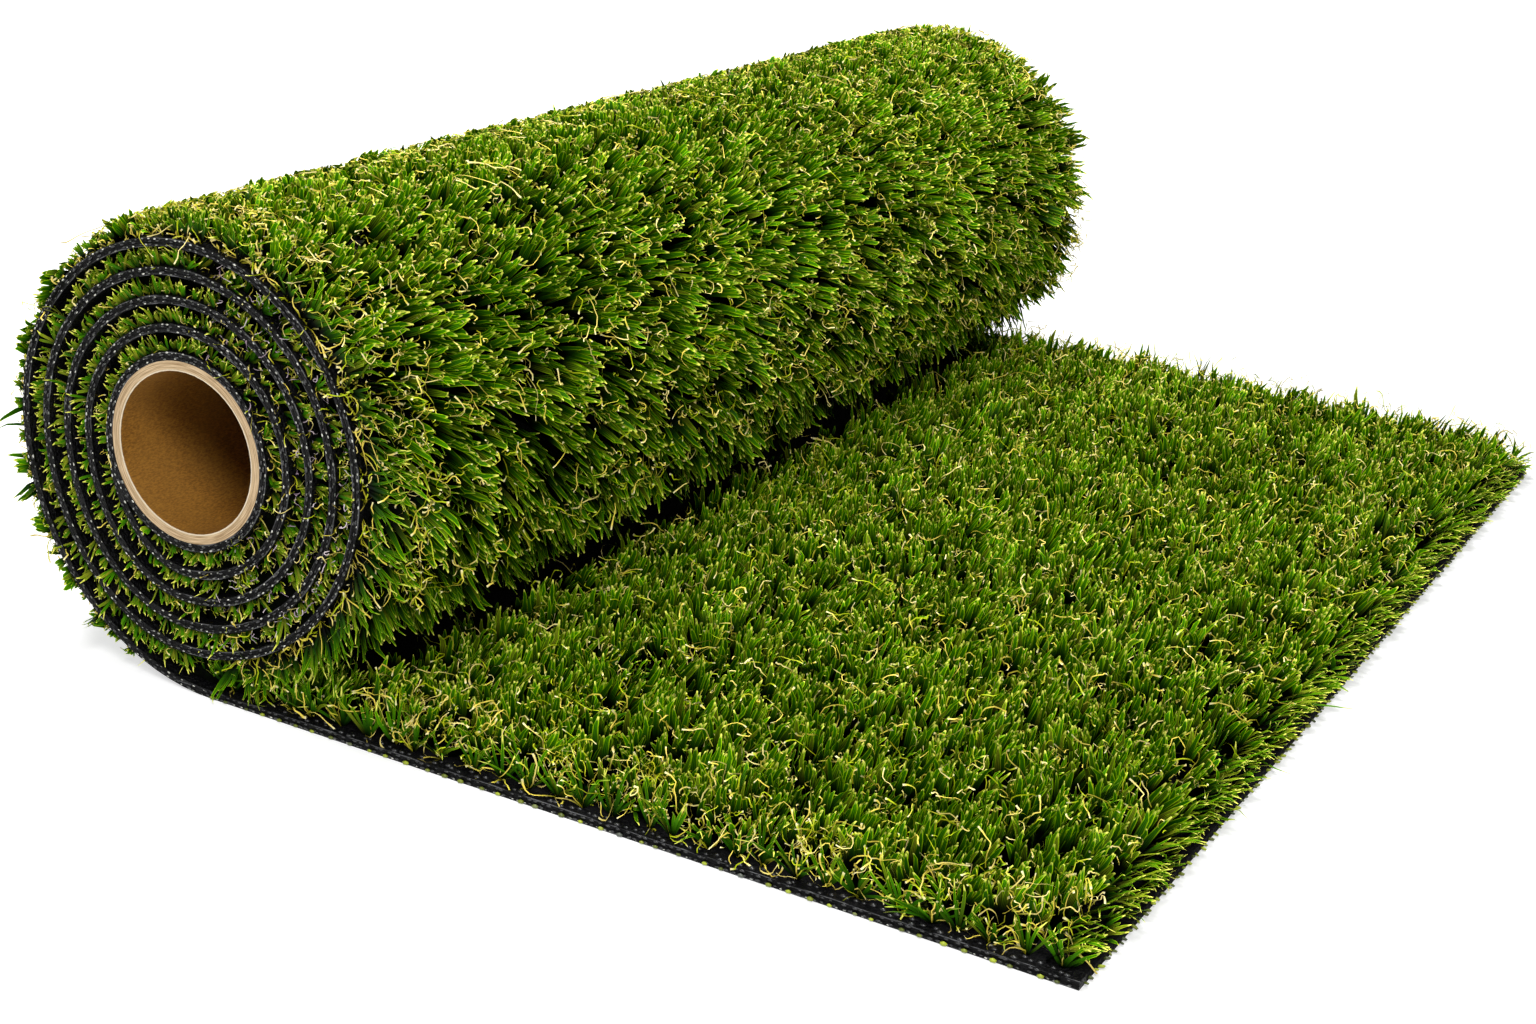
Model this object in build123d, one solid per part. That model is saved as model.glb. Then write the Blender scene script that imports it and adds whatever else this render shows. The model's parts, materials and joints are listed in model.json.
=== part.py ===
import os

from build123d import *

# A roll of artificial turf, 1 m wide, wound pile side out on a cardboard tube.
# Its outer end is unrolled, and lies flat on the floor in front of the roll.
# The sheet is a black backing with a green pile of tufted yarn.
# X runs along the unrolled turf, Y along the roll's axis, and Z is up from the floor.
# The origin is on the floor, below the middle of the whole part. All sizes are in millimetres.

ROLL_WIDTH = 1000.0             # width of the turf, and length of the tube

CORE_BORE_DIAMETER = 98.0       # inside of the cardboard tube
CORE_WALL_THICKNESS = 6.0       # its wound paper wall

BACKING_THICKNESS = 5.0         # backing cloth with its latex coat
PRESSED_PILE_THICKNESS = 11.5   # pile squeezed between two turns of the backing
TURNS_OVER_FIRST = 4            # turns laid over the first one, which hugs the tube

PILE_UNDER_ROLL_HEIGHT = 19.5   # pile squeezed between the roll and the turf that it lies on
TOUCHDOWN_OFFSET = 19.5         # from below the tube's axis to where the last turn meets the floor
FLAT_LENGTH = 556.0             # flat turf, from that line to its free end
FLAT_PILE_HEIGHT = 35.0         # standing pile on the flat turf
BARE_EDGE_WIDTH = 8.0           # bare backing along the flat turf's cut edges, before its first tufts
EDGE_PILE_HEIGHT = 18.0         # height of the edge tufts where they lean out level with the cut edges
EDGE_SLOPE_WIDTH = 14.0         # from the cut edges to where the pile stands at its full height

END_SETBACK_WIDTH = 4.0         # from the roll's ends, where the turns stand proud, to its pile
BACK_PILE_THICKNESS = 8.0       # outer pile, crushed behind the roll
TOP_PILE_THICKNESS = 19.0       # outer pile, leaning over on top of the roll
FRONT_PILE_THICKNESS = 41.0     # outer pile, hanging open over the flat turf
BACK_PILE_CLEARANCE = 20.0      # height above the floor at which the crushed pile begins

# Radii and heights that follow from those sizes. A turn's radius is that of its outer face.
core_inner_radius = CORE_BORE_DIAMETER / 2
core_outer_radius = core_inner_radius + CORE_WALL_THICKNESS
turn_pitch = BACKING_THICKNESS + PRESSED_PILE_THICKNESS
first_turn_radius = core_outer_radius + BACKING_THICKNESS
top_turn_radius = first_turn_radius + TURNS_OVER_FIRST * turn_pitch
axis_height = BACKING_THICKNESS + PILE_UNDER_ROLL_HEIGHT + top_turn_radius
half_backing = BACKING_THICKNESS / 2

# The outer pile ends on a round envelope, which is set by its three thicknesses.
envelope_left = -top_turn_radius - BACK_PILE_THICKNESS
envelope_right = top_turn_radius + FRONT_PILE_THICKNESS
envelope_top = axis_height + top_turn_radius + TOP_PILE_THICKNESS
envelope_radius = (envelope_right - envelope_left) / 2

free_end = TOUCHDOWN_OFFSET + FLAT_LENGTH
flat_pile_top = BACKING_THICKNESS + FLAT_PILE_HEIGHT
middle_of_part = (envelope_left + free_end) / 2
beyond_part = ROLL_WIDTH + free_end + envelope_top


def box_face(left, right, low, high):
    """A rectangle of the section, given by its four sides."""
    return Pos((left + right) / 2, (low + high) / 2) * Rectangle(right - left, high - low)


def disc(radius):
    """A round face of the section, about the tube's axis."""
    return Pos(0, axis_height) * Circle(radius)


def envelope():
    """The round face that the tips of the outer pile reach."""
    centre = (envelope_left + envelope_right) / 2
    return Pos(centre, envelope_top - envelope_radius) * Circle(envelope_radius)


def lower_left(offset):
    """The quarter of the section below the tube's axis and left of a line at this offset."""
    return box_face(-beyond_part, offset, -beyond_part, axis_height)


def quarter(offset, reach, drop):
    """The lower left quarter of an oval that reaches so far left and so far down."""
    return lower_left(offset) & Pos(offset, axis_height) * Ellipse(reach, drop)


def ring(radius):
    """One turn of the backing, round about the tube's axis."""
    return disc(radius) - disc(radius - BACKING_THICKNESS)


def step(offset, reach, drop):
    """The stretch of backing where a turn runs in from the one outside it, below and left."""
    inner = quarter(offset, reach - BACKING_THICKNESS, drop - BACKING_THICKNESS)
    return quarter(offset, reach, drop) - inner


def backing_section():
    """The backing, from its free end along the floor and round the roll to the tube."""
    section = box_face(TOUCHDOWN_OFFSET, free_end, 0, BACKING_THICKNESS)
    section += step(TOUCHDOWN_OFFSET, TOUCHDOWN_OFFSET + top_turn_radius, axis_height)
    section += ring(first_turn_radius)
    for turn in range(TURNS_OVER_FIRST):
        inner_radius = first_turn_radius + turn * turn_pitch
        section += step(0, inner_radius, inner_radius + turn_pitch)
        section += ring(inner_radius + turn_pitch) - lower_left(0)
    return section


def rolled_pile_section(backing):
    """The pile between the turns and round the outside of the roll."""
    not_crushed_away = box_face(TOUCHDOWN_OFFSET, beyond_part, BACKING_THICKNESS, beyond_part)
    not_crushed_away += box_face(-beyond_part, beyond_part, BACK_PILE_CLEARANCE, beyond_part)
    section = envelope() & not_crushed_away
    section += disc(top_turn_radius - half_backing)
    last_turn_reach = TOUCHDOWN_OFFSET + top_turn_radius - half_backing
    section += quarter(TOUCHDOWN_OFFSET, last_turn_reach, axis_height - half_backing)
    return section - disc(first_turn_radius - half_backing) - backing


def leaning_edge(edge):
    """The outline of the pile at a cut edge: its foot, where it leans out to the edge, and its top."""
    foot = (edge - BARE_EDGE_WIDTH, BACKING_THICKNESS)
    reach = (edge, BACKING_THICKNESS + EDGE_PILE_HEIGHT)
    return [foot, reach, (edge - EDGE_SLOPE_WIDTH, flat_pile_top)]


def flat_pile_section():
    """The standing pile on the flat turf, cut away where the roll's pile leans on it."""
    rear = [(TOUCHDOWN_OFFSET, flat_pile_top), (TOUCHDOWN_OFFSET, BACKING_THICKNESS)]
    return make_face(Polyline(*leaning_edge(free_end), *rear, close=True)) - envelope()


def flat_pile_across():
    """The flat pile seen from its free end, with its two leaning side edges, as a long bar."""
    side = leaning_edge(ROLL_WIDTH / 2)
    other_side = [(-y, z) for y, z in reversed(side)]
    return extrude(Plane.YZ * make_face(Polyline(*side, *other_side, close=True)), amount=beyond_part, both=True)


def core_section():
    """The ring of the cardboard tube."""
    return disc(core_outer_radius) - disc(core_inner_radius)


def across_roll(section, setback=0):
    """A section of the XZ plane, pulled out to the width of the turf, less a setback at each end."""
    return extrude(Plane.XZ * section, amount=ROLL_WIDTH / 2 - setback, both=True)


def main():
    backing = backing_section()
    pieces = {
        "core_tube": across_roll(core_section()),
        "turf_backing": across_roll(backing),
        "rolled_pile": across_roll(rolled_pile_section(backing), END_SETBACK_WIDTH),
        "flat_pile": across_roll(flat_pile_section()) & flat_pile_across(),
    }
    os.makedirs("parts", exist_ok=True)
    for name, piece in pieces.items():
        export_step(Pos(-middle_of_part, 0, 0) * piece, f"parts/{name}.step")


main()
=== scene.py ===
import json
import math

import bmesh
import bpy
import numpy as np
from mathutils import Matrix, Vector


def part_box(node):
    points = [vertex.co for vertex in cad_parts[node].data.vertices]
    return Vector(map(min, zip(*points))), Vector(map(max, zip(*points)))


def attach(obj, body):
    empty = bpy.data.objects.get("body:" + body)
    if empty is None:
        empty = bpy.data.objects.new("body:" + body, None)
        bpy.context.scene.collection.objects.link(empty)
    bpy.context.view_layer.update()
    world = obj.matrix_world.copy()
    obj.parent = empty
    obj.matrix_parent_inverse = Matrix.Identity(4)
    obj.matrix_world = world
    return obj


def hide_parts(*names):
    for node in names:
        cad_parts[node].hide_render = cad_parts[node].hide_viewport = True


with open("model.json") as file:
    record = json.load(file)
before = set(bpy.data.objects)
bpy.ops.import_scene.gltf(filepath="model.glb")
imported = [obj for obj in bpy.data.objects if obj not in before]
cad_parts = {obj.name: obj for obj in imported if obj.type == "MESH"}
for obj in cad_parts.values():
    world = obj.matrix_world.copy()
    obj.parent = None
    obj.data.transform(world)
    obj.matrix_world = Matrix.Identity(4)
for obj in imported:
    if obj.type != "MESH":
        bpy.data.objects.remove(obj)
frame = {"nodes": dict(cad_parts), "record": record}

# A roll of artificial turf on a cardboard tube, with its free end unrolled on the floor.
# The tube and the backing are the CAD model's own. This script gives them their finish, and puts
# tufts of yarn, low thatch and curled straw yarn where the CAD model has plain solids for the pile.
# Stitches, loose threads and lumps of latex go on the backing's cut edges.
# Lengths are in metres. X runs along the unrolled turf, Y along the roll's axis, and Z is up.

MM = 0.001
ALONG, ACROSS, UPWARD = np.eye(3)
BOTH_ENDS = ((-1, "near"), (1, "far"))
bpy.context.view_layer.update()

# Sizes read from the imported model.
BORE = next(mount for mount in frame["record"]["mounts"] if mount["name"] == "core_bore")
AXIS_X, AXIS_Z = BORE["pos_m"][0], BORE["pos_m"][2]
BORE_RADIUS = BORE["dims"]["r_mm"] * MM
TUBE_LOW, TUBE_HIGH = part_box("core_tube")
BACKING_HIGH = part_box("turf_backing")[1]
FLAT_PILE_LOW, FLAT_PILE_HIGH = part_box("flat_pile")
ROLLED_LOW, ROLLED_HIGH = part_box("rolled_pile")
TUBE_RADIUS = (TUBE_HIGH.z - TUBE_LOW.z) / 2
HALF_WIDTH = BACKING_HIGH.y
BACKING = FLAT_PILE_LOW.z
PILE_HEIGHT = FLAT_PILE_HIGH.z - BACKING
FREE_END = BACKING_HIGH.x
TOP_TURN = BACKING_HIGH.z - AXIS_Z
ENVELOPE_RADIUS = (ROLLED_HIGH.x - ROLLED_LOW.x) / 2
ENVELOPE_X = (ROLLED_HIGH.x + ROLLED_LOW.x) / 2 - AXIS_X
ENVELOPE_Z = ROLLED_HIGH.z - ENVELOPE_RADIUS - AXIS_Z

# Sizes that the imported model's boxes don't give, as in the CAD source.
TURNS_OVER_FIRST = 4
TOUCHDOWN_OFFSET = 19.5 * MM
FIRST_TURN = TUBE_RADIUS + BACKING
PITCH = (TOP_TURN - FIRST_TURN) / TURNS_OVER_FIRST
GAP = PITCH - BACKING

SEED = 7
FLAT_STRAWS, ROLL_STRAWS = 4900, 7700


class Wire:
    """An output of a shader node, so that sums of values can be written as sums."""

    def __init__(self, socket):
        self.socket = socket

    def node(self, kind, settings=None, inputs=None, output=0):
        """Adds any node to the same tree, as add_node does."""
        return add_node(self.socket.id_data, kind, settings, inputs, output)

    def feed(self, slot):
        """Links this output to a slot of a shader."""
        self.socket.id_data.links.new(self.socket, slot)

    def maths(self, operation, first, second):
        """A sum, a difference or a product."""
        return self.node("Math", {"operation": operation}, {0: first, 1: second})

    def __add__(self, other):
        return self.maths("ADD", self, other)

    def __sub__(self, other):
        return self.maths("SUBTRACT", self, other)

    def __rsub__(self, other):
        return self.maths("SUBTRACT", other, self)

    def __mul__(self, other):
        return self.maths("MULTIPLY", self, other)

    __radd__ = __add__
    __rmul__ = __mul__

    def clamped(self, low, high):
        """0 at the low value, 1 at the high one, and smooth between them."""
        ends = {"From Min": low, "From Max": high, "Value": self}
        return self.node("MapRange", {"interpolation_type": "SMOOTHSTEP"}, ends)

    def blend(self, first, second):
        """The first colour where this value is 0, and the second where it is 1."""
        return self.node("Mix", {"data_type": "RGBA"}, {0: self, 6: first, 7: second}, output=2)


def add_node(tree, kind, settings=None, inputs=None, output=0):
    """Adds a shader node, sets it up, fills its sockets with values or links, and gives one output."""
    made = tree.nodes.new("ShaderNode" + kind)
    for name, value in (settings or {}).items():
        setattr(made, name, value)
    for name, value in (inputs or {}).items():
        if isinstance(value, Wire):
            tree.links.new(value.socket, made.inputs[name])
        else:
            made.inputs[name].default_value = value
    return Wire(made.outputs[output])


def new_material(name, **values):
    """A material with one Principled shader, its tree, and the values that are the same all over."""
    material = bpy.data.materials.new(name)
    material.use_nodes = True
    shader = material.node_tree.nodes["Principled BSDF"]
    for socket, value in values.items():
        shader.inputs[socket.replace("_", " ")].default_value = value
    return material, material.node_tree, shader.inputs


def attribute(tree, name):
    """A value that the piece's mesh holds for each of its points."""
    return add_node(tree, "Attribute", {"attribute_name": name}, output=2)


def yarn_material():
    """Green turf yarn, a tone for each blade, with painted shade at its root and along its ridges, and
    painted highlight on its rims and cut end.
    """
    material, tree, slots = new_material("turf_yarn", Roughness=0.5, Specular_IOR_Level=0.03)
    along, across, tone = (attribute(tree, name) for name in ("along", "across", "tone"))
    olive, lit = attribute(tree, "olive"), attribute(tree, "lit")
    body = tone.blend((0.01, 0.075, 0.0002, 1), (0.1, 0.385, 0.0005, 1))
    body = olive.clamped(0.7, 1.1).blend(body, (0.33, 0.36, 0.02, 1))
    # Painted shade in fine stripes along the blade, for the shading of its ridges.
    ridge_shade = across.node("Math", {"operation": "SINE"}, {0: across * 25.0})
    body = ridge_shade.clamped(-0.2, 1.0).blend(body, (0.006, 0.05, 0.0002, 1))
    off_middle = across.node("Math", {"operation": "ABSOLUTE"}, {0: across - 0.5})
    # Painted highlight along both edges of the blade's upper part, for light shining through them.
    rim_highlight = off_middle.clamped(0.3, 0.43) * (along.clamped(0.4, 0.85) * (0.55 + 0.45 * tone))
    rim_highlighted = rim_highlight.blend(body, (0.56, 0.93, 0.006, 1))
    # Painted highlight on the cut end of each blade, where it catches the light.
    tip_highlight = (along + 0.35 * lit).clamped(0.88, 0.98) * olive.clamped(-0.2, 0.6)
    tip_highlighted = tip_highlight.blend(rim_highlighted, (1.0, 1.0, 0.16, 1))
    # Painted shade: each blade darkens towards its root, more or less as its lit value shifts it.
    shade = (along + lit).clamped(0.35, 0.92)
    colour = shade.blend((0.0002, 0.0008, 0.0001, 1), tip_highlighted)
    colour.feed(slots["Base Color"])
    return material


def straw_material():
    """Curled thatch yarn, from yellow green through straw to nearly white."""
    material, tree, slots = new_material("straw_yarn", Roughness=0.45, Specular_IOR_Level=0.1)
    tone, along = attribute(tree, "tone"), attribute(tree, "along")
    straw = tone.clamped(0.1, 0.4).blend((0.5, 0.6, 0.008, 1), (0.95, 0.74, 0.11, 1))
    pale = tone.clamped(0.5, 0.95).blend(straw, (1.0, 0.84, 0.31, 1))
    risen = along.clamped(0.0, 0.55).blend((0.3, 0.28, 0.008, 1), pale)
    colour = along.clamped(0.86, 1.0).blend(risen, (1.0, 0.9, 0.48, 1))
    colour.feed(slots["Base Color"])
    return material


def thread_material():
    """The fine purple grey threads that come loose between the turns."""
    material, tree, slots = new_material("loose_threads", Roughness=0.45)
    colour = attribute(tree, "tone").blend((0.3, 0.2, 0.27, 1), (0.85, 0.72, 0.75, 1))
    colour.feed(slots["Base Color"])
    return material


def about_the_axis(tree):
    """The place on the part from the tube's axis: the whole vector, its three parts, and the radius."""
    place = add_node(tree, "TexCoord", output=3)
    moved = place.node("Mapping", inputs={"Vector": place, "Location": (-AXIS_X, 0, -AXIS_Z)})
    x, y, z = (moved.node("SeparateXYZ", inputs={0: moved}, output=k) for k in range(3))
    squares = x * x + z * z
    return moved, x, y, z, squares.node("Math", {"operation": "SQRT"}, {0: squares})


def at_cut_end(y):
    """1 on the roll's two cut ends, and 0 a little way in from them."""
    depth = y.node("Math", {"operation": "ABSOLUTE"}, {0: y})
    return depth.clamped(HALF_WIDTH - 0.7 * MM, HALF_WIDTH - 0.3 * MM)


def backing_material():
    """Black latex on cloth, whose cut edges show two layers with a dark line between them."""
    material, tree, slots = new_material("backing_latex", Specular_IOR_Level=0.08)
    moved, x, y, z, radius = about_the_axis(tree)
    end = at_cut_end(y)
    depth = y.node("Math", {"operation": "ABSOLUTE"}, {0: y})
    bare = depth.clamped(HALF_WIDTH - 11 * MM, HALF_WIDTH - 8 * MM)
    on_floor = (z * -1.0).clamped(AXIS_Z - BACKING - MM, AXIS_Z - BACKING)
    # How far a point is from the middle of the sheet's thickness, round the turns and on the floor.
    from_first = radius - (TUBE_RADIUS + BACKING / 2)
    from_turn = radius.node("Math", {"operation": "PINGPONG"}, {0: from_first, 1: PITCH / 2})
    height = z + (AXIS_Z - BACKING / 2)
    from_floor = z.node("Math", {"operation": "ABSOLUTE"}, {0: height})
    off_middle = from_turn + (from_floor - from_turn) * on_floor
    stepping = (1.0 - x.clamped(-4 * MM, 0.0)) * (1.0 - z.clamped(-4 * MM, 0.0)) * (1.0 - on_floor)
    layered = end * (1.0 - stepping)
    groove = (1.0 - off_middle.clamped(0.15 * MM, 0.5 * MM)) * layered
    # Pale streaks along the borders of each cut band: partly worn fluff on the cut, and partly painted
    # highlight.
    border_fluff_and_highlight = off_middle.clamped(1.4 * MM, 2.3 * MM) * layered
    across = radius + (z - radius) * on_floor
    streak_place = x.node("CombineXYZ", inputs={0: across * 1500.0, 1: x * 70.0, 2: z * 70.0})
    streaks = x.node("TexNoise", inputs={"Vector": streak_place, "Scale": 1.0, "Detail": 3.0})
    grain = x.node("TexNoise", inputs={"Vector": moved, "Scale": 900.0, "Detail": 3.0})
    lumps = x.node("TexVoronoi", inputs={"Vector": moved, "Scale": 420.0})
    relief = grain + 0.8 * lumps + (1.6 * streaks - 1.5 * groove) * end
    bump = x.node("Bump", inputs={"Height": relief, "Strength": 1.0, "Distance": 0.0016})
    colour = grain.clamped(0.35, 0.75).blend((0.001, 0.001, 0.0012, 1), (0.008, 0.008, 0.009, 1))
    colour = (border_fluff_and_highlight * streaks.clamped(0.48, 0.62)).blend(colour, (0.2, 0.2, 0.21, 1))
    colour = groove.blend(colour, (0.001, 0.001, 0.001, 1))
    bump.feed(slots["Normal"])
    colour.feed(slots["Base Color"])
    (0.95 - 0.6 * bare).feed(slots["Roughness"])
    return material


def lump_material():
    """The latex that stands up in glossy lumps where the sheet is cut and where it is bare."""
    black = (0.012, 0.012, 0.013, 1)
    return new_material("latex_lumps", Base_Color=black, Roughness=0.28, Specular_IOR_Level=0.6)[0]


def shade_material():
    """The pressed pile behind the cut ends, which is in deep shade; its near black colour is painted shade.
    """
    material, tree, slots = new_material("pressed_pile_shade", Roughness=1.0, Specular_IOR_Level=0.05)
    place = add_node(tree, "TexCoord", output=3)
    grain = place.node("TexNoise", inputs={"Vector": place, "Scale": 350.0, "Detail": 4.0})
    colour = grain.clamped(0.4, 0.8).blend((0.0008, 0.001, 0.0005, 1), (0.003, 0.006, 0.001, 1))
    colour.feed(slots["Base Color"])
    return material


def stitch_material():
    """The cut ends of the stitches, pale and a little green."""
    material, tree, slots = new_material("stitch_ends", Roughness=0.45)
    tone = attribute(tree, "tone")
    green = tone.clamped(-1.0, -0.2).blend((0.035, 0.05, 0.006, 1), (0.42, 0.5, 0.03, 1))
    grey = tone.clamped(0.3, 1.0).blend((0.09, 0.1, 0.08, 1), (0.8, 0.8, 0.72, 1))
    colour = tone.clamped(-0.1, 0.05).blend(green, grey)
    colour.feed(slots["Base Color"])
    return material


def kraft_material():
    """Wound kraft paper: brown and fibrous inside, and paler where the wall is cut."""
    material, tree, slots = new_material("kraft_tube", Roughness=0.62, Specular_IOR_Level=0.45)
    moved, x, y, z, radius = about_the_axis(tree)
    end = at_cut_end(y)
    fibre_place = x.node("Mapping", inputs={"Vector": moved, "Scale": (1100.0, 380.0, 1100.0)})
    fine = {"Vector": fibre_place, "Scale": 1.0, "Detail": 6.0, "Roughness": 0.65}
    fibres = x.node("TexNoise", inputs=fine)
    clouds = x.node("TexNoise", inputs={"Vector": moved, "Scale": 14.0, "Detail": 2.0})
    brown = fibres.clamped(0.32, 0.7).blend((0.13, 0.045, 0.002, 1), (0.4, 0.18, 0.02, 1))
    brown = (0.3 * clouds.clamped(0.4, 0.7)).blend(brown, (0.46, 0.23, 0.04, 1))
    layer_place = x.node("CombineXYZ", inputs={0: radius * 2600.0, 1: x * 60.0, 2: z * 60.0})
    layers = x.node("TexNoise", inputs={"Vector": layer_place, "Scale": 1.0, "Detail": 3.0})
    cut = layers.clamped(0.3, 0.7).blend((0.34, 0.2, 0.08, 1), (0.86, 0.64, 0.38, 1))
    # Painted highlight: a near white lip where the cut face meets the bore.
    bore_lip_highlight = 1.0 - radius.clamped(BORE_RADIUS + 0.3 * MM, BORE_RADIUS + 0.9 * MM)
    cut = (bore_lip_highlight * 0.85).blend(cut, (1.0, 0.88, 0.66, 1))
    colour = end.blend(brown, cut)
    bump = x.node("Bump", inputs={"Height": fibres + layers * end, "Strength": 0.4, "Distance": 0.0006})
    colour.feed(slots["Base Color"])
    bump.feed(slots["Normal"])
    return material


YARN, STRAW, LATEX = yarn_material(), straw_material(), backing_material()
SHADE, STITCH, KRAFT, LUMP = shade_material(), stitch_material(), kraft_material(), lump_material()
THREAD = thread_material()


def new_object(name, data):
    """An object in the scene."""
    made = bpy.data.objects.new(name, data)
    bpy.context.scene.collection.objects.link(made)
    return made


def mesh_object(name, bm):
    """An object in the scene with the mesh that was built."""
    mesh = bpy.data.meshes.new(name)
    bm.to_mesh(mesh)
    bm.free()
    return new_object(name, mesh)


def finished(piece, material, slot, *nodes):
    """Gives a piece its material and its body, and hides the CAD nodes that it stands for. The slot is not
    used.
    """
    piece.data.materials.clear()
    piece.data.materials.append(material)
    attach(piece, "root")
    if nodes:
        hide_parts(*nodes)
    return piece


def unit(vectors):
    """The same vectors, each 1 long."""
    return vectors / np.maximum(np.linalg.norm(vectors, axis=-1, keepdims=True), 1e-9)


def arrayed(name, places, faces, values):
    """One mesh of many copies of a shape, with the values that its points hold."""
    copies, corners = places.shape[:2]
    every_face = (faces[None] + corners * np.arange(copies)[:, None, None]).reshape(-1, faces.shape[1])
    mesh = bpy.data.meshes.new(name)
    mesh.vertices.add(copies * corners)
    mesh.vertices.foreach_set("co", places.astype(np.float32).ravel())
    mesh.loops.add(every_face.size)
    mesh.loops.foreach_set("vertex_index", every_face.astype(np.int32).ravel())
    mesh.polygons.add(len(every_face))
    mesh.polygons.foreach_set("loop_start", np.arange(len(every_face), dtype=np.int32) * faces.shape[1])
    mesh.polygons.foreach_set("use_smooth", np.ones(len(every_face), dtype=bool))
    for key, value in values.items():
        held = mesh.attributes.new(key, "FLOAT", "POINT")
        held.data.foreach_set("value", np.broadcast_to(value, (copies, corners)).astype(np.float32).ravel())
    mesh.update(calc_edges=True)
    return new_object(name, mesh)


def strip(rows):
    """A flat strip one face wide: the side and row of each corner, and the faces."""
    bm = bmesh.new()
    bmesh.ops.create_grid(bm, x_segments=1, y_segments=rows - 1, size=0.5)
    side = np.array([vert.co.x * 2 for vert in bm.verts])
    row = np.rint([(vert.co.y + 0.5) * (rows - 1) for vert in bm.verts]).astype(int)
    faces = np.array([[vert.index for vert in face.verts] for face in bm.faces])
    bm.free()
    return side, row, faces


def ribbons(name, paths, sides, tone, olive=0.5, lit=0.0):
    """One piece of many ribbons, each along its path, with half its width given by its sides."""
    side, row, faces = strip(paths.shape[1])
    places = paths[:, row] + side[None, :, None] * sides[:, row]
    values = {
        "along": row[None] / (paths.shape[1] - 1),
        "across": (side[None] + 1) / 2,
        "tone": np.reshape(tone, (-1, 1)),
        "olive": np.reshape(olive, (-1, 1)),
        "lit": np.reshape(lit, (-1, 1)),
    }
    return arrayed(name, places, faces, values)


# Where each row of a blade's points lies along it, and how wide the blade is there.
BLADE_ROWS = np.array([0.0, 0.3, 0.62, 0.87, 1.0])
BLADE_WIDTHS = np.array([0.6, 0.95, 1.0, 0.72, 0.22])
TIP_HOOKS = np.array([0.0, 0.0, 0.0, 0.15, 1.0])

# The lowest that blades and straw yarns may come, clear of the floor with half their width.
LOWEST_BLADE, LOWEST_STRAW = 2.1 * MM, 1.5 * MM

# How a tuft is made: its blades, how wide they fan out for each metre of length, how wide its foot
# is, each blade's width, how far it bends down, and how unlike each other its blades stand and curl.
TUFT = dict(count=7, spread=0.32, foot=7.5 * MM, width=3.9 * MM, sag=0.15, rough=0.035, curl=0.055)
V_TUFT = dict(count=9, spread=1.5, foot=1.5 * MM, width=2.0 * MM, sag=0.2, rough=0.14, curl=0.12)
FAN_TUFT = V_TUFT | dict(spread=0.8, rough=0.08)
SHELL = dict(count=7, spread=0.4, foot=8 * MM, width=2.3 * MM, sag=0.3, rough=0.05, curl=0.1)
THATCH = dict(count=3, spread=1.2, foot=9 * MM, width=3.0 * MM, sag=0.1, rough=0.3, curl=0.2)
END_TUFT = dict(count=5, spread=0.8, foot=1.5 * MM, width=1.6 * MM, sag=0.05, rough=0.16, curl=0.16)


def blades(rng, base, up, fan, length, style):
    """Paths and half widths of the blades of tufts that stand at these points and fan out this way."""
    tufts, count, foot, curl = len(base), style["count"], style["foot"], style["curl"]
    place = (np.arange(count) + 0.5) / count - 0.5
    place = place[None, :, None] + rng.normal(0, 0.08, (tufts, count, 1))
    fan_each = fan[:, None] + rng.normal(0, 0.13, (tufts, count, 3))
    heading = up[:, None] + style["spread"] * place * fan_each
    heading = unit(heading + rng.normal(0, style["rough"], (tufts, count, 3)))
    side = unit(fan_each - heading * np.sum(fan_each * heading, axis=-1, keepdims=True))
    size = np.reshape(length, (-1, 1)) * rng.uniform(0.78, 1.06, (tufts, count))
    root = base[:, None] + place * fan[:, None] * foot + rng.normal(0, 0.12, (tufts, count, 3)) * foot
    root = root - up[:, None] * np.sum((root - base[:, None]) * up[:, None], axis=-1, keepdims=True)
    droop = heading * heading[..., 2:3] - UPWARD
    bend = style["sag"] * droop + rng.normal(0, 0.1, (tufts, 1, 3)) + rng.normal(0, curl, (tufts, count, 3))
    rows = BLADE_ROWS[None, None, :, None]
    hook = rng.normal(0, 0.9 * curl, (tufts, count, 1, 3)) * TIP_HOOKS[:, None]
    lengthwise = heading[:, :, None] * rows + bend[:, :, None] * rows**2 + hook
    paths = root[:, :, None] + lengthwise * size[..., None, None]
    paths[..., 2] = np.maximum(paths[..., 2], LOWEST_BLADE)
    widths = BLADE_WIDTHS * style["width"] / 2 * rng.uniform(0.7, 1.2, (tufts, count, 1))
    sides = side[:, :, None] * widths[..., None]
    rows_each = len(BLADE_ROWS)
    return paths.reshape(-1, rows_each, 3), sides.reshape(-1, rows_each, 3)


def fan_way(rng, up, along, most=0.3, spread=0.75):
    """The way that each tuft fans out, mostly along the sheet, at right angles to the way it stands."""
    turn = rng.normal(most, spread, (len(up), 1))
    return unit(np.cos(turn) * along + np.sin(turn) * np.cross(up, along))


def tones(rng, tufts, count):
    """A tone for each blade: mostly the tuft's own, and partly its own."""
    own = rng.uniform(0, 1, (tufts, 1)) * 0.55 + rng.uniform(0, 1, (tufts, count)) * 0.45
    return own.ravel()


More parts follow.
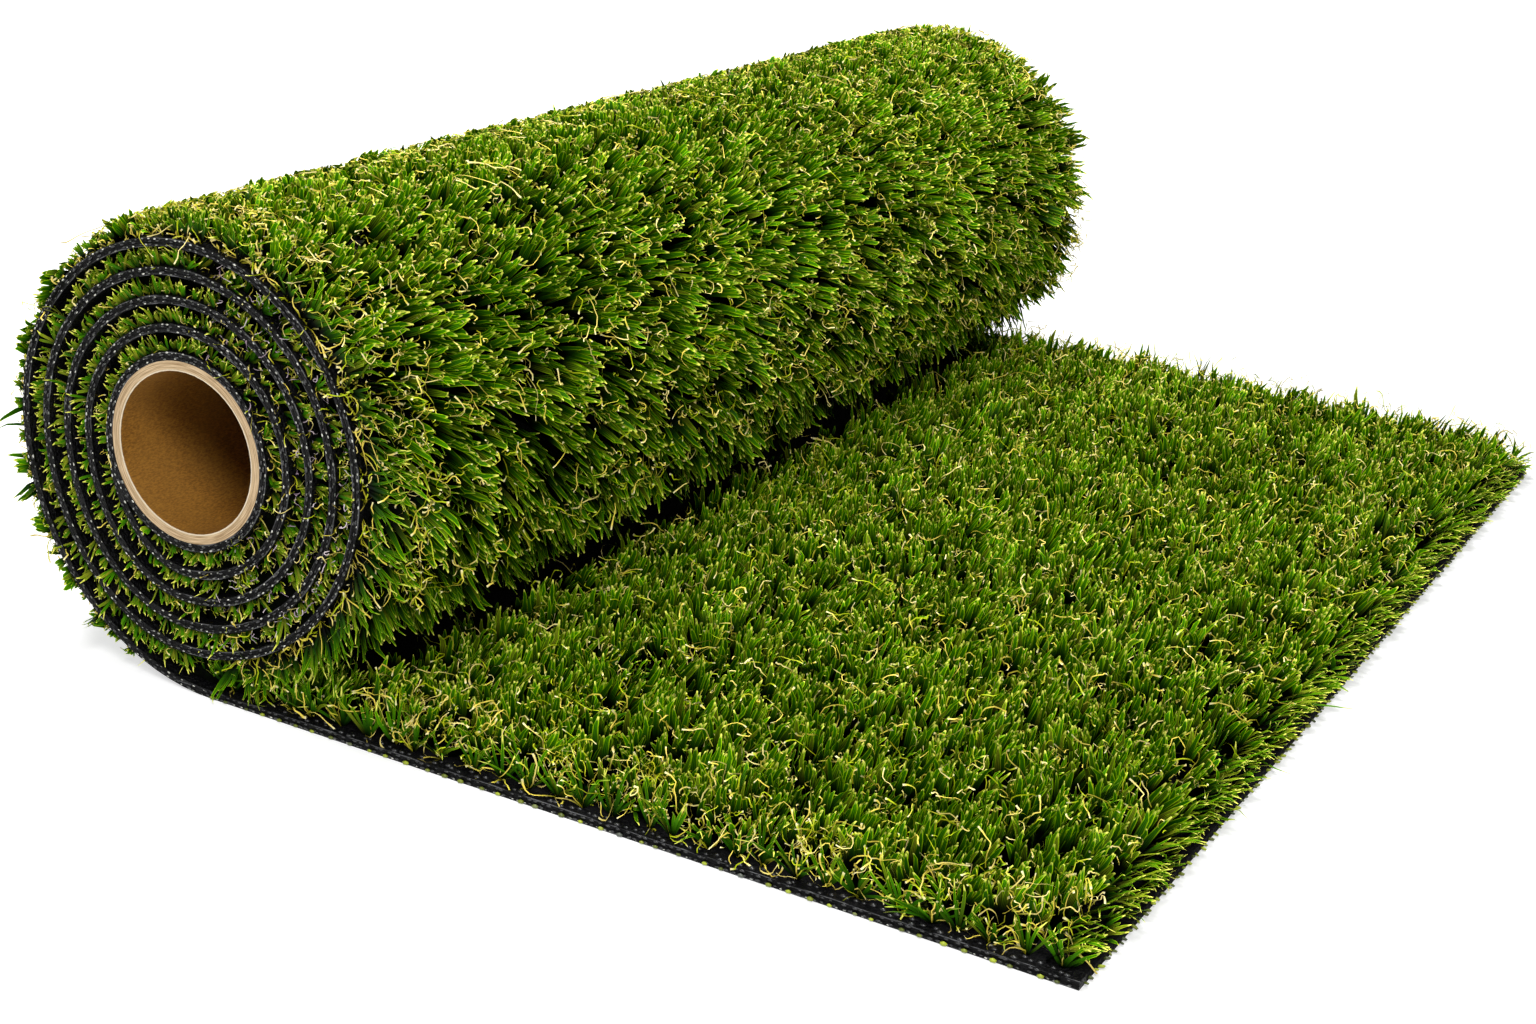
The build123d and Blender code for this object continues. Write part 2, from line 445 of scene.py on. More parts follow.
def curls(rng, start, up, length, reach, width=0.66 * MM, points=9, curve=0.6, toss=0.7):
    """Paths and half widths of curled yarns that wander up from these points, up to a reach."""
    count = len(start)
    heading = unit(up + rng.normal(0, toss, (count, 3)))
    turning = rng.normal(0, curve, (count, 3))
    # Some of the yarns curl one way all along, and the rest are crimped this way and that.
    steady = rng.uniform(0.0, 0.6, (count, 1))
    step = np.reshape(length, (-1, 1)) / (points - 1)
    places = [start]
    for _ in range(points - 1):
        kink = np.where(rng.uniform(0, 1, (count, 1)) < 0.34, 2.6, 0.5)
        turning = steady * turning + (1 - 0.6 * steady) * kink * rng.normal(0, curve, (count, 3))
        heading = unit(heading + np.cross(turning, heading))
        places.append(places[-1] + heading * step)
    paths = np.stack(places, axis=1)
    rise = np.sum((paths - start[:, None]) * up[:, None], axis=-1)
    reach = np.reshape(reach, (-1, 1))
    kept = np.where(rise > reach, reach - 0.3 * (rise - reach), rise)
    paths = paths + (kept - rise)[..., None] * up[:, None]
    paths[..., 2] = np.maximum(paths[..., 2], LOWEST_STRAW)
    tangent = unit(np.gradient(paths, axis=1))
    side = unit(np.cross(tangent, unit(rng.normal(0, 1, (count, 1, 3)))))
    taper = np.array([0.7] + [0.9] * (points - 3) + [1.3, 1.5])
    widths = width / 2 * rng.uniform(0.65, 1.35, (count, 1)) * taper
    return paths, side * widths[..., None]


def swirl(rng, s, y, scale):
    """A lean that drifts slowly over the sheet, so that tufts near each other lie alike."""
    lean = np.zeros((len(s), 2))
    for _ in range(5):
        way, phase = rng.uniform(0, 2 * math.pi, 2), rng.uniform(0, 2 * math.pi)
        wave = np.sin((s * np.cos(way[0]) + y * np.sin(way[0])) / scale * rng.uniform(0.6, 1.8) + phase)
        lean += 0.45 * wave[:, None] * [math.cos(way[1]), math.sin(way[1])]
    return lean


def stitch_grid(rng, length, spacing, edge):
    """Tufts in rows along the sheet, as the needles set them: places along it and across it."""
    rows = int(round(2 * (HALF_WIDTH - edge) / spacing))
    stitches = int(round(length / spacing))
    across = np.linspace(-HALF_WIDTH + edge, HALF_WIDTH - edge, rows + 1)
    s, y = np.meshgrid((np.arange(stitches) + 0.5) / stitches, across, indexing="ij")
    s = s + (np.arange(rows + 1) % 2)[None] * 0.5 / stitches
    s = s + rng.normal(0, 0.2, s.shape) / stitches
    y = y + rng.normal(0, 0.2, y.shape) * spacing * (np.abs(y) < HALF_WIDTH - edge - MM)
    return s.ravel(), y.ravel()


# From the cut side edges to the rows of tufts, and how far apart tufts and yarns are.
EDGE_ROW = 18 * MM  # the flat turf's first full row
FLAT_OUTER_ROW = 8.5 * MM
ROLL_EDGE_ROW = 11 * MM  # the roll's first full row
ROLL_OUTER_ROW = 4 * MM
TUFT_SPACING = 12 * MM
THATCH_SPACING = 15 * MM
EDGE_SPACING = 19 * MM
ROLL_EDGE_SPACING = 9 * MM
CUT_TUFT_SPACING = 6.5 * MM
CUT_STRAW_SPACING = 3.4 * MM
THREAD_SPACING = 5 * MM

# How far in from the side edges the pile leans out, and how far straw yarns lie thicker.
EDGE_LEAN_REACH, EDGE_STRAW_REACH = 30 * MM, 18 * MM
SWIRL_SIZE = 22 * MM

# Angles about the tube, up from the side towards the free end.
BACK_OF_PILE, UNDER_ROLL = math.radians(246), math.radians(-62)
HANG_BEGINS, HANG_RANGE = math.radians(45), math.radians(75)
FREE_OF_CREASE, CREASE_FADE = math.radians(-28), math.radians(8)
CREASE_TILT = math.radians(4)  # how much lower the roll's pile hangs at its near end
CALM_RANGE = math.radians(20)  # how far up from the crease it hangs more evenly
THATCH_BEGINS = math.radians(60)

CREASE = AXIS_X + 93 * MM  # where the flat turf's tufts begin, under the roll's pile
SHADED_CREASE = 26 * MM  # how far out from there they are bent down and darkened with painted shade
ROLL_REACH = 38 * MM  # about the furthest that tufts stand out from the roll's last turn
CRUSHED_LENGTH = 20 * MM  # how long tufts stay where the pile is crushed
REST_HEIGHT = 60 * MM  # how high the roll's tufts lie down on the flat turf's, above the floor
REST_TILT = 8 * MM  # how much lower that is at the near end
OUTLINE_PULL = 0.55
ENVELOPE_CENTRE = np.array([AXIS_X + ENVELOPE_X, AXIS_Z + ENVELOPE_Z])


def turn_place(turn, angle, inset=0.0):
    """A point of one turn of the backing, so far in from its outer face, in the XZ plane.

    Below and left of the tube, each turn runs out to the next one. There, turn -1 is the round
    stretch that stays on the tube.
    """
    radius = FIRST_TURN + np.maximum(turn, 0) * PITCH - inset
    stepping = (np.cos(angle) < 0) & (np.sin(angle) < 0) & (np.asarray(turn) >= 0)
    last = turn == TURNS_OVER_FIRST
    shift = np.where(last, TOUCHDOWN_OFFSET, 0.0)
    drop = np.where(last, AXIS_Z - inset, radius + PITCH)
    x = np.where(stepping, shift + (radius + shift) * np.cos(angle), radius * np.cos(angle))
    z = np.where(stepping, drop * np.sin(angle), radius * np.sin(angle))
    return np.stack([AXIS_X + x, AXIS_Z + z], axis=-1)


def points_at(x, y, z):
    """Points from their coordinates, where one number may stand for all."""
    return np.stack(np.broadcast_arrays(x, y, z), axis=-1)


def in_space(xz, y):
    """Points of the section, put at their places across the turf."""
    return points_at(xz[..., 0], y, xz[..., 1])


def outside_of_roll(angle):
    """The last turn at these angles: its points, the way out, the way round, and the pile's depth."""
    points = turn_place(TURNS_OVER_FIRST, angle)
    out = points - ENVELOPE_CENTRE
    depth = ENVELOPE_RADIUS - np.linalg.norm(out, axis=-1)
    out = in_space(unit(out), 0.0)
    return points, out, np.cross(ACROSS, out), depth


def hanging(angle):
    """How far the roll's pile leans downhill: little on top, and most where it hangs over the flat turf."""
    return (0.12 + 0.5 * np.clip((HANG_BEGINS - angle) / HANG_RANGE, 0, 1))[:, None]


def near_edge(y, reach):
    """How near the points are to the cut side edges: -1 and 1 at the edges, and 0 beyond the reach."""
    return np.sign(y) * np.clip((np.abs(y) - HALF_WIDTH + reach) / reach, 0, 1)


def near_outline(paths):
    """The roll's pile, with what sticks out of its round outline pulled back towards it."""
    out = paths[..., [0, 2]] - ENVELOPE_CENTRE
    reach = np.linalg.norm(out, axis=-1, keepdims=True)
    past = np.maximum(reach - ENVELOPE_RADIUS, 0)
    paths[..., [0, 2]] -= OUTLINE_PULL * past * out / reach
    return paths


def planted(rng, name, base, up, fan, length, style, node, olive=(0, 1), lit=0.0, rest=-1.0):
    """A piece of tufts, each with its own place, lean, fan, length, rest, and lit, which shifts the painted
    shade at its root.

    A tuft's rest is the height at which it lies down on whatever is below it.
    """
    paths, sides = blades(rng, base, up, fan, length, style)
    rest, lit = (np.repeat(np.broadcast_to(value, len(base)), style["count"]) for value in (rest, lit))
    paths[..., 2] += 0.75 * np.maximum(rest[:, None] - paths[..., 2], 0)
    if node == "rolled_pile":
        paths = near_outline(paths)
    tone = tones(rng, len(base), style["count"])
    piece = ribbons(name, paths, sides, tone, rng.uniform(*olive, len(tone)), lit)
    return finished(piece, YARN, "pile", node)


def plant_flat(rng, name, first, last):
    """The tufts of one stretch of the unrolled turf."""
    s, y = stitch_grid(rng, last - first, TUFT_SPACING, EDGE_ROW)
    x = first + s * (last - first)
    base = points_at(x, y, BACKING)
    lean = rng.normal(0, 0.13, (len(x), 3)) * [1, 1, 0]
    lean[:, :2] += 0.13 * swirl(rng, x, y, SWIRL_SIZE)
    # The pile is combed towards the free end, and lies over more in the last rows before it.
    lean[:, 0] += 0.22 + 0.3 * np.clip((x - FREE_END + 45 * MM) / (25 * MM), 0, 1)
    lean[:, 1] += 0.12 * near_edge(y, EDGE_LEAN_REACH)
    up = unit(UPWARD + lean)
    fan = fan_way(rng, up, np.broadcast_to(ALONG, up.shape))
    # In the crease the roll lies over the tufts, which are bent down, in shadow, and darkened further with
    # painted shade.
    free = np.clip((x - CREASE) / SHADED_CREASE, 0, 1)
    length = PILE_HEIGHT * rng.uniform(0.82, 1.06, len(x)) * (0.4 + 0.6 * free)
    return planted(rng, name, base, up, fan, length, TUFT, "flat_pile", lit=-0.7 * (1 - free))


def plant_roll(rng, name, first, last):
    """The tufts on the outside of the roll, between two angles about the tube."""
    s, y = stitch_grid(rng, TOP_TURN * abs(last - first), TUFT_SPACING, ROLL_EDGE_ROW)
    angle = first + s * (last - first)
    points, outward, forward, depth = outside_of_roll(angle)
    drift = 0.1 * swirl(rng, angle * TOP_TURN, y, SWIRL_SIZE)
    hang = hanging(angle)
    # Over the crease the tufts hang alike, so that it is one dark line.
    calm = np.clip((angle - FREE_OF_CREASE) / CALM_RANGE, 0.25, 1)[:, None]
    lean = (hang + calm * drift[:, :1]) * forward + calm * rng.normal(0, 0.08, (len(s), 3))
    lean[:, 1] += drift[:, 1]
    lean[:, 1] += 0.16 * near_edge(y, EDGE_LEAN_REACH)
    up = unit(outward + lean)
    free = np.clip(1 + (angle - FREE_OF_CREASE - CREASE_TILT * y / HALF_WIDTH) / CREASE_FADE, 0, 1)
    room = np.minimum(depth * 1.08, ROLL_REACH)
    # Where the pile is crushed, its tufts lie over this way and that, and keep more of their length.
    longer = np.clip(CRUSHED_LENGTH / room, 1, 2.2)
    way = rng.normal(-0.4, 0.9, (len(s), 1))
    lying = np.cos(way) * forward + np.sin(way) * ACROSS
    up = unit(up + np.sqrt(longer**2 - 1)[:, None] * lying)
    length = room * longer * rng.uniform(0.9, 1.06, len(s)) * (0.4 + 0.6 * free)
    length = length * (1 + hang[:, 0] ** 2) ** 0.35
    fan = fan_way(rng, up, forward, 0.3, 0.5)
    base = in_space(points, y)
    # Painted shade darkens the tufts where the pile hangs down and over the crease, and is lifted a little
    # on top.
    lit = 0.14 - 0.35 * hang[:, 0] - 0.8 * (1 - free)
    over_flat = (free == 1) & (np.cos(angle) > 0)
    rest = np.where(over_flat, REST_HEIGHT + REST_TILT * y / HALF_WIDTH, -1.0)
    return planted(rng, name, base, up, fan, length, TUFT, "rolled_pile", lit=lit, rest=rest)


def plant_edges(rng):
    """The outermost row along each cut side edge, where every tuft spreads from a single point."""
    for end, side in BOTH_ENDS:
        first = AXIS_X + TOUCHDOWN_OFFSET
        count = int((FREE_END - first) / EDGE_SPACING)
        x = FREE_END - 9 * MM - (np.arange(count) + rng.uniform(0.0, 0.35, count)) * EDGE_SPACING
        y = end * (HALF_WIDTH - FLAT_OUTER_ROW + rng.uniform(-1.0, 1.0, count) * MM)
        base = points_at(x, y, BACKING)
        up = unit(np.array([0.0, 0.12 * end, 1.0]) + rng.normal(0, 0.1, base.shape))
        fan = unit(ALONG + rng.normal(0, 0.12, base.shape))
        length = np.minimum(PILE_HEIGHT * rng.uniform(0.6, 0.85, count), room_under_roll(x))
        planted(rng, f"{side}_edge_tufts", base, up, fan, length, V_TUFT, "flat_pile", lit=0.35)
        straw_at_feet(rng, f"{side}_edge_straw", base, up, fan, length, end, "flat_pile")

        count = int(TOP_TURN * (BACK_OF_PILE - UNDER_ROLL) / ROLL_EDGE_SPACING)
        s = (np.arange(count) + rng.uniform(0.3, 0.7, count)) / count
        lowest = UNDER_ROLL - math.radians(14)
        angle = lowest + s * (BACK_OF_PILE - lowest)
        points, outward, forward, depth = outside_of_roll(angle)
        y = end * (HALF_WIDTH - ROLL_OUTER_ROW + rng.uniform(-1.5, 1.5, count) * MM)
        up = outward + 0.6 * hanging(angle) * forward + [0.0, 0.15 * end, 0.0]
        up = unit(up + rng.normal(0, 0.12, outward.shape))
        length = np.minimum(depth * 0.95, PILE_HEIGHT * 0.85) * rng.uniform(0.8, 1.05, count)
        base = in_space(points, y)
        planted(rng, f"{side}_roll_edge_tufts", base, up, forward, length, FAN_TUFT, "rolled_pile", lit=0.15)
        straw_at_feet(rng, f"{side}_roll_edge_straw", base, up, forward, length, end, "rolled_pile")


def room_under_roll(x):
    """How high the pile can stand on the floor run here before it meets the roll's last turn."""
    beside = np.clip(np.abs(x - AXIS_X) / TOP_TURN, 0, 1)
    return AXIS_Z - TOP_TURN * np.sqrt(1 - beside**2) - BACKING


def plant_under_roll(rng):
    """Tufts in the wedge between the floor run and the last turn, as far in as they can be seen."""
    for end, side in BOTH_ENDS:
        first, last = AXIS_X - 40 * MM, CREASE + 20 * MM
        count = 5 * int((last - first) / (9 * MM))
        x = rng.uniform(first, last, count)
        y = end * (HALF_WIDTH - rng.uniform(6, 42, count) * MM)
        # Behind the line where the last turn meets the floor, the backing rises as a quarter oval.
        behind = TOUCHDOWN_OFFSET + AXIS_X - x
        beside = np.maximum(behind, 0) / (TOP_TURN + TOUCHDOWN_OFFSET)
        rise = np.where(behind > 0, AXIS_Z * (1 - np.sqrt(1 - beside**2)), 0.0)
        base = points_at(x, y, BACKING + rise)
        up = unit(np.array([0.15, 0.0, 1.0]) + rng.normal(0, 0.25, base.shape) * [1, 0.4, 1])
        fan = fan_way(rng, up, np.broadcast_to(ALONG, up.shape), 0.0, 0.4)
        length = np.clip(room_under_roll(x) * 1.1 - rise, 8 * MM, PILE_HEIGHT * 0.8)
        planted(rng, f"{side}_wedge_tufts", base, up, fan, length, V_TUFT, "rolled_pile", lit=0.1)


def straw_at_feet(rng, name, base, up, fan, length, end, node, each=6):
    """Curled yarns that rise out of the feet of the edge tufts and spread over the cut edge."""
    base, up, fan = (np.repeat(part, each, axis=0) for part in (base, up, fan))
    length = np.repeat(length, each)
    rise = unit(up + fan * rng.uniform(-1.1, 1.1, (len(base), 1)) + [0.0, 0.3 * end, 0.0])
    reach = length * 0.95
    long = length * rng.uniform(0.6, 1.2, len(base))
    paths, sides = curls(rng, base, rise, long, reach, 0.8 * MM, curve=0.45, toss=0.25)
    paths[..., 1] = np.clip(paths[..., 1], -HALF_WIDTH + MM, HALF_WIDTH - MM)
    tone = rng.uniform(0, 0.85, len(base))
    return finished(ribbons(name, paths, sides, tone), STRAW, "pile", node)


def plant_free_end(rng):
    """Fine, dry-looking tufts that lie out over the turf's cut end."""
    planting = HALF_WIDTH - FLAT_OUTER_ROW
    # Each row's distance from the cut end, its spacing and its tufts' length, in millimetres.
    for name, back, spacing, length in (("outer", 11, 9, 18), ("inner", 24, 10, 31)):
        count = int(2 * planting / (spacing * MM))
        y = -planting + (np.arange(count) + rng.uniform(0.2, 0.8, count)) / count * 2 * planting
        x = FREE_END - back * MM + rng.uniform(-2, 2, count) * MM
        base = points_at(x, y, BACKING)
        up = unit(np.array([0.95, 0.0, 1.0]) + rng.normal(0, 0.08, base.shape))
        fan = unit(ACROSS + rng.normal(0, 0.25, base.shape))
        lengths = length * MM * rng.uniform(0.75, 1.1, count)
        planted(rng, f"free_end_tufts_{name}", base, up, fan, lengths, SHELL, "flat_pile", (0.5, 1.2), 0.12)


def plant_thatch(rng):
    """Low yarns that lie this way and that between the tufts, so that little of the backing shows."""
    first, last = CREASE + SHADED_CREASE, FREE_END - EDGE_ROW
    s, y = stitch_grid(rng, last - first, THATCH_SPACING, EDGE_ROW + 6 * MM)
    base = points_at(first + s * (last - first), y, BACKING)
    lay_thatch(rng, "flat_thatch", base, np.broadcast_to(UPWARD, base.shape), 0.5, "flat_pile")
    # On the roll it lies on top and behind, where the pile is short.
    first, last = THATCH_BEGINS, BACK_OF_PILE
    s, y = stitch_grid(rng, TOP_TURN * (last - first), THATCH_SPACING, EDGE_ROW)
    points, outward, _, depth = outside_of_roll(first + s * (last - first))
    rise = np.clip(depth / (40 * MM), 0.2, 0.5)[:, None]
    lay_thatch(rng, "roll_thatch", in_space(points, y), outward, rise, "rolled_pile")


def lay_thatch(rng, name, base, outward, rise, node):
    """One piece of low yarns, each leaning its own way and rising so steeply from the sheet."""
    lying = np.cross(outward, rng.normal(0, 1, base.shape))
    up = unit(rise * outward + unit(lying))
    fan = unit(np.cross(up, outward))
    length = rng.uniform(16, 24, len(base)) * MM
    planted(rng, name, base, up, fan, length, THATCH, node, lit=0.2)


def edge_weighted(rng, count, share, reach):
    """Places across the turf: some anywhere, and a share of them near the two cut side edges."""
    y = rng.uniform(-HALF_WIDTH + 6 * MM, HALF_WIDTH - 6 * MM, count)
    edge = (HALF_WIDTH - 8 * MM - reach * rng.uniform(0, 1, count) ** 1.5) * rng.choice([-1, 1], count)
    return np.where(rng.uniform(0, 1, count) < share, edge, y)


def scattered(rng, name, node, start, up, reach, toss):
    """A piece of straw yarns that rise from these points, from 7 to 35 mm long, and most of them short."""
    length = (7 + 28 * rng.uniform(0, 1, len(start)) ** 2.0) * MM
    paths, sides = curls(rng, start, up, length, reach, toss=toss)
    tone = rng.uniform(0, 1, len(start)) ** 1.4
    return finished(ribbons(name, paths, sides, tone), STRAW, "pile", node)


def straw_on_flat(rng, count):
    """Curled yarns among the tufts of the unrolled turf, and more of them at its cut edges."""
    x = rng.uniform(CREASE + SHADED_CREASE, FREE_END - 8 * MM, count)
    y = edge_weighted(rng, count, 0.2, EDGE_STRAW_REACH)
    height = BACKING + PILE_HEIGHT * rng.uniform(0.5, 0.95, count)
    at_edge = np.abs(y) > HALF_WIDTH - EDGE_STRAW_REACH
    height = np.where(at_edge, BACKING + PILE_HEIGHT * rng.uniform(0.15, 0.75, count), height)
    start = points_at(x, y, height)
    up = np.broadcast_to(UPWARD, start.shape)
    return scattered(rng, "flat_straw", "flat_pile", start, up, BACKING + PILE_HEIGHT * 1.15 - height, 0.7)


def straw_on_roll(rng, count):
    """Curled yarns among the tufts on the outside of the roll."""
    lowest, highest = FREE_OF_CREASE + math.radians(5), BACK_OF_PILE - 0.6
    points, outward, _, depth = outside_of_roll(rng.uniform(lowest, highest, count))
    y = edge_weighted(rng, count, 0.2, EDGE_STRAW_REACH)
    at_edge = np.abs(y) > HALF_WIDTH - EDGE_STRAW_REACH
    risen = depth * np.where(at_edge, rng.uniform(0.1, 0.85, count), rng.uniform(0.65, 1.0, count))
    start = in_space(points, y) + outward * risen[:, None]
    return scattered(rng, "roll_straw", "rolled_pile", start, outward, depth * 1.06 - risen, 0.8)


def round_the_turns(rng, spacing, turns):
    """Places along these turns of the backing on both cut ends: the turn, the angle and the end."""
    found = []
    for end in (-1, 1):
        for turn in turns:
            first = math.radians(180 if turn < 0 else -90)
            whole = math.radians(270) - first
            count = int(whole * (FIRST_TURN + max(turn, 0) * PITCH) / spacing)
            angle = first + (np.arange(count) + rng.uniform(0.2, 0.8, count)) / count * whole
            found.append((np.full(count, turn), angle, np.full(count, end)))
    return [np.concatenate(part) for part in zip(*found)]


def tube_ways(angle):
    """The way out from the tube and the way round it, at these angles."""
    outward = np.stack([np.cos(angle), np.zeros_like(angle), np.sin(angle)], axis=-1)
    return outward, np.cross(ACROSS, outward)


def room_over_turn(turn, angle):
    """The gap from a turn to the one outside it, as a share of the usual gap."""
    below_left = (np.cos(angle) < 0) & (np.sin(angle) < 0)
    leaving = np.clip((PITCH * np.sin(angle) ** 2 - BACKING) / GAP, 0, 1)
    landing = 1 + 0.4 * np.sin(angle) ** 2 * (turn == TURNS_OVER_FIRST - 1) * below_left
    return np.where(turn < 0, leaving, landing)


def tufts_in_cut_ends(rng):
    """Short bent tufts that show between the turns on the roll's two cut ends."""
    for layer, depth in enumerate((1.5 * MM, 6 * MM)):
        turn, angle, end = round_the_turns(rng, CUT_TUFT_SPACING, range(-1, TURNS_OVER_FIRST))
        room = room_over_turn(turn, angle)
        kept = (room > 0.25) & (rng.uniform(0, 1, len(turn)) < 0.62 + 0.38 * (np.cos(angle) < 0.1))
        turn, angle, end, room = (part[kept] for part in (turn, angle, end, room))
        y = end * (HALF_WIDTH - depth - rng.uniform(0, 1.5, len(turn)) * MM)
        base = in_space(turn_place(turn, angle), y)
        outward, forward = tube_ways(angle)
        side = np.where(np.cos(angle) < 0, -0.5, 0.8)
        lean = forward * (side * rng.uniform(-0.2, 1.3, len(turn)))[:, None]
        lean = lean + rng.normal(0, 0.15, (len(turn), 3))
        lean[:, 1] += end * 0.04
        up = unit(outward + lean)
        fan = fan_way(rng, up, forward, 0.0, 0.3)
        length = GAP * room * rng.uniform(0.5, 0.98, len(turn))
        length = length * np.linalg.norm(lean + outward, axis=-1) ** 0.8
        name = f"cut_end_tufts_{layer}"
        planted(rng, name, base, up, fan, length, END_TUFT, "rolled_pile", (0.4, 1.2), 0.42)


def curled_in_cut_ends(rng, name, material, base, rise, length, width, toss=0.7):
    """A piece of curled yarns that stay between the turns and near the cut ends."""
    paths, sides = curls(rng, base, rise, length, np.full(len(base), GAP), width, toss=toss)
    paths[..., 1] = np.clip(paths[..., 1], -HALF_WIDTH - 2 * MM, HALF_WIDTH + 2 * MM)
    piece = ribbons(name, paths, sides, rng.uniform(0, 1, len(base)))
    return finished(piece, material, "pile", "rolled_pile")


def straw_in_cut_ends(rng):
    """Fine curled yarns between the turns, mostly on the side towards the free end."""
    turn, angle, end = round_the_turns(rng, CUT_STRAW_SPACING, range(TURNS_OVER_FIRST))
    kept = rng.uniform(0, 1, len(turn)) < 0.4 + 0.6 * (np.cos(angle) > 0.1)
    turn, angle, end = turn[kept], angle[kept], end[kept]
    y = end * (HALF_WIDTH - rng.uniform(1, 6, len(turn)) * MM)
    base = in_space(turn_place(turn, angle), y)
    length = rng.uniform(9, 18, len(turn)) * MM
    return curled_in_cut_ends(rng, "cut_end_straw", STRAW, base, tube_ways(angle)[0], length, 0.6 * MM)


def threads_in_cut_ends(rng):
    """Loose threads between the turns, on the side towards the free end."""
    turn, angle, end = round_the_turns(rng, THREAD_SPACING, range(TURNS_OVER_FIRST))
    kept = (np.cos(angle) > 0.15) & (rng.uniform(0, 1, len(turn)) < 0.2 + 0.25 * turn)
    turn, angle, end = turn[kept], angle[kept], end[kept]
    outward, forward = tube_ways(angle)
    y = end * (HALF_WIDTH - rng.uniform(0, 3, len(turn)) * MM)
    base = in_space(turn_place(turn, angle), y)
    base = base + outward * GAP * rng.uniform(0.1, 0.8, (len(turn), 1))
    length = rng.uniform(5, 12, len(turn)) * MM
    return curled_in_cut_ends(rng, "cut_end_threads", THREAD, base, forward, length, 0.5 * MM, toss=1.0)


LOWEST_BEAD = 0.2 * MM
# The beads' three half sizes: the way that they are given, across the turf, and at right angles.
STITCH_SIZE = np.array([1.1, 0.45, 0.52]) * MM
EDGE_LUMP_SIZE = np.array([1.7, 0.5, 0.7]) * MM
BARE_LUMP_SIZE = np.array([2.2, 1.6, 1.2]) * MM
LOOP_SIZE = np.array([2.2, 1.4, 1.3]) * MM
STUB_SIZE = np.array([2.1, 0.95, 0.95]) * MM


def beads(name, centres, along, sizes, tone, material, slot):
    """One piece of many small rounded lumps, each longest the way that it is given."""
    bm = bmesh.new()
    bmesh.ops.create_icosphere(bm, subdivisions=1, radius=1.0)
    ball = np.array([vert.co[:] for vert in bm.verts])
    faces = np.array([[vert.index for vert in face.verts] for face in bm.faces])
    bm.free()
    along, across = np.broadcast_to(along, centres.shape), np.broadcast_to(ACROSS, centres.shape)
    frames = np.stack([along, across, np.cross(along, across)], axis=1)
    places = centres[:, None] + np.einsum("pk,nk,nkc->npc", ball, sizes, frames)
    places[..., 2] = np.maximum(places[..., 2], LOWEST_BEAD)
    return finished(arrayed(name, places, faces, {"tone": np.reshape(tone, (-1, 1))}), material, slot)


def marks_on_turns(rng):
    """The pale cut stitches along both faces of the backing, and the black lumps between them."""
    stitches, lumps = [], []
    # Each line's depth in the backing from its outer face, and its spacing, in millimetres.
    lines = ((0.8, 4.6, stitches), (4.1, 8.0, stitches), (1.8, 9.0, lumps), (3.4, 11.0, lumps))
    for inset, spacing, held in lines:
        turn, angle, end = round_the_turns(rng, spacing * MM, range(-1, TURNS_OVER_FIRST + 1))
        depth = (inset + rng.uniform(-0.4, 0.4, len(turn))) * MM
        centres = in_space(turn_place(turn, angle, depth), end * HALF_WIDTH)
        held.append((centres, tube_ways(angle)[1]))
    # The same stitches and lumps along the side edges of the flat run.
    for height, held in ((0.9, stitches), (1.4, lumps), (3.9, lumps)):
        x = np.arange(TOUCHDOWN_OFFSET + AXIS_X, FREE_END, 5.5 * MM)
        for end in (-1, 1):
            spots = points_at(x + rng.uniform(-2, 2, len(x)) * MM, end * HALF_WIDTH, height * MM)
            spots = spots[x < FREE_END - 3 * MM]
            held.append((spots, np.broadcast_to(ALONG, spots.shape)))
    centres, along = (np.concatenate(part) for part in zip(*stitches))
    sizes = STITCH_SIZE * rng.uniform(0.45, 1.15, (len(centres), 1))
    beads("edge_stitches", centres, along, sizes, rng.uniform(0.2, 1, len(centres)), STITCH, "pile")
    centres, along = (np.concatenate(part) for part in zip(*lumps))
    sizes = EDGE_LUMP_SIZE * rng.uniform(0.6, 1.2, (len(centres), 1))
    beads("edge_latex_lumps", centres, along, sizes, 0.5, LUMP, "backing")


def marks_on_flat(rng):
    """Latex lumps on the bare strips, stitch loops under the side edges, and stubs at the free end."""
    centres = []
    for end in (-1, 1):
        x = np.arange(CREASE - 20 * MM, FREE_END - 3 * MM, 5 * MM)
        x = x + rng.uniform(-2, 2, len(x)) * MM
        y = end * (HALF_WIDTH - rng.uniform(1.5, 7, len(x)) * MM)
        centres.append(points_at(x, y, BACKING))
    centres = np.concatenate(centres)
    sizes = BARE_LUMP_SIZE * rng.uniform(0.6, 1.2, (len(centres), 1))
    beads("bare_strip_lumps", centres, ALONG, sizes, 0.5, LUMP, "backing")

    centres = []
    for end in (-1, 1):
        x = np.arange(AXIS_X + TOUCHDOWN_OFFSET, FREE_END - 4 * MM, 13 * MM)
        x = x + rng.uniform(-3, 3, len(x)) * MM
        centres.append(points_at(x, end * (HALF_WIDTH + 0.6 * MM), 1.2 * MM))
    centres = np.concatenate(centres)
    sizes = LOOP_SIZE * rng.uniform(0.7, 1.1, (len(centres), 1))
    beads("stitch_loops", centres, ALONG, sizes, rng.uniform(-0.9, 0.1, len(centres)), STITCH, "pile")

    y = np.arange(-HALF_WIDTH + 5 * MM, HALF_WIDTH - 4 * MM, 7 * MM)
    y = y + rng.uniform(-2, 2, len(y)) * MM
    x = FREE_END + rng.uniform(0.5, 1.8, len(y)) * MM
    centres = points_at(x, y, rng.uniform(1.2, 3.5, len(y)) * MM)
    along = unit(ALONG + rng.normal(0, 0.25, centres.shape))
    sizes = STUB_SIZE * rng.uniform(0.8, 1.25, (len(centres), 1))
    beads("free_end_stubs", centres, along, sizes, rng.uniform(-1.0, -0.3, len(centres)), STITCH, "pile")


